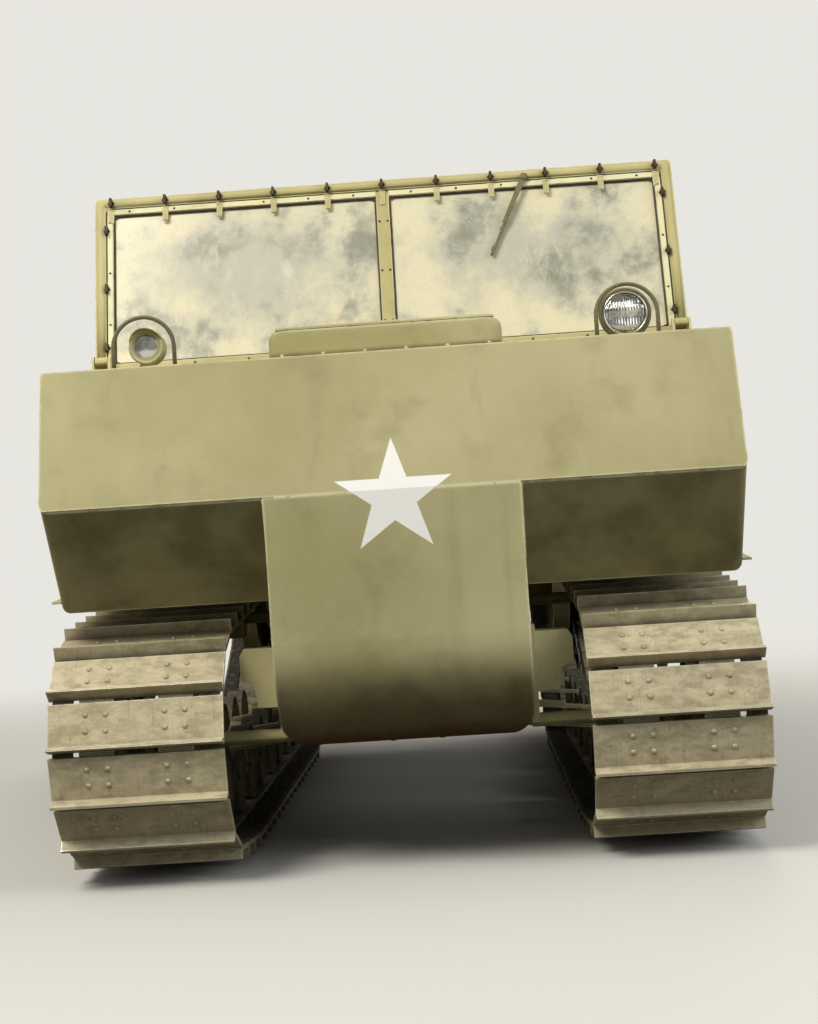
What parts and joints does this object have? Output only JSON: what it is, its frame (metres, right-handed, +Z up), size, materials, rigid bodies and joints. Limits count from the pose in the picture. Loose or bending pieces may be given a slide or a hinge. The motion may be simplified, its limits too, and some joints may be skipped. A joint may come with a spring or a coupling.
{
  "type": "tracked cargo carrier",
  "caption": "Light full-tracked cargo carrier with an open hull, folding windshield, sprung bogies and band tracks.",
  "frame": {"origin": "centre of the footprint on the ground, under the middle of the whole vehicle", "axes": "+Y towards the rear, so the bow faces -Y; +X to the vehicle's left; +Z up"},
  "size_m": [1.55, 3.2, 1.6366],
  "materials": {
    "olive_paint": "matte olive drab paint, dusty and lightly scuffed",
    "chassis_paint": "matte olive drab paint with dried dust",
    "track_steel": "bare worn steel with dust and light rust",
    "tyre_rubber": "dusty black rubber",
    "shield_glass": "dusty plate glass",
    "lamp_glass": "fluted lamp glass",
    "engine_iron": "grey-green painted iron",
    "seat_canvas": "olive canvas over padding",
    "dark_trim": "matt black"
  },
  "bodies": {
    "hull": {"lower_hull": "olive_paint", "front_plate": "olive_paint", "sponson_left": "olive_paint", "sponson_right": "olive_paint", "rear_plate": "olive_paint", "front_deck": "olive_paint", "rear_deck": "olive_paint", "cabin_rails": "olive_paint", "side_lips": "olive_paint", "vent_hood": "olive_paint", "windshield_feet": "olive_paint", "headlamp": "olive_paint", "headlamp_lens": "lamp_glass", "blackout_lamp": "olive_paint", "lamp_guards": "olive_paint", "track_left": "track_steel", "track_right": "track_steel", "idlers": "chassis_paint", "sprockets": "chassis_paint", "road_wheels": "tyre_rubber", "bogies": "chassis_paint", "leaf_springs": "chassis_paint", "return_rollers": "chassis_paint", "idler_arms": "chassis_paint", "rear_axle": "chassis_paint", "engine_block": "engine_iron", "engine_cover": "olive_paint", "tool_box": "olive_paint", "battery_box": "olive_paint", "fuel_tank": "olive_paint", "dash_panel": "olive_paint", "driver_seat_frame": "olive_paint", "driver_seat_pads": "seat_canvas", "bench_frame": "olive_paint", "bench_pads": "seat_canvas", "control_levers": "chassis_paint", "tow_pintle": "chassis_paint", "tow_eyes": "chassis_paint", "tail_lamps": "olive_paint"},
    "windshield": {"windshield_frame": "olive_paint", "windshield_panes": "shield_glass"},
    "wiper": {"wiper": "dark_trim"},
    "vent_lid": {"vent_lid": "olive_paint"},
    "engine_lid": {"engine_lid": "olive_paint"},
    "tool_box_lid": {"tool_box_lid": "olive_paint"},
    "battery_box_lid": {"battery_box_lid": "olive_paint"},
    "pintle_latch": {"pintle_latch": "chassis_paint"}
  },
  "joints": [
    {"name": "windshield_fold", "type": "hinge", "parent": "hull", "child": "windshield", "pos_m": [0, -1.06131, 1.20911], "axis": [-1, 0, 0], "range_deg": [-95, 0]},
    {"name": "wiper_sweep", "type": "hinge", "parent": "windshield", "child": "wiper", "pos_m": [0.357, -0.91777, 1.61156], "axis": [0, -0.965, 0.2622], "range_deg": [-15, 65]},
    {"name": "vent_lid_swing", "type": "hinge", "parent": "hull", "child": "vent_lid", "pos_m": [0, -1.24, 1.2158], "axis": [-1, 0, 0], "range_deg": [0, 40]},
    {"name": "engine_lid_swing", "type": "hinge", "parent": "hull", "child": "engine_lid", "pos_m": [-0.273, -0.542, 1.0033], "axis": [0, -1, 0], "range_deg": [0, 75]},
    {"name": "tool_box_lid_swing", "type": "hinge", "parent": "hull", "child": "tool_box_lid", "pos_m": [-0.6927, -0.645, 1.0163], "axis": [0, -1, 0], "range_deg": [0, 80]},
    {"name": "battery_box_lid_swing", "type": "hinge", "parent": "hull", "child": "battery_box_lid", "pos_m": [0.6927, 0.21, 1.0163], "axis": [0, 1, 0], "range_deg": [0, 80]},
    {"name": "pintle_latch_swing", "type": "hinge", "parent": "hull", "child": "pintle_latch", "pos_m": [0, 1.54, 0.768], "axis": [1, 0, 0], "range_deg": [0, 80]}
  ]
}
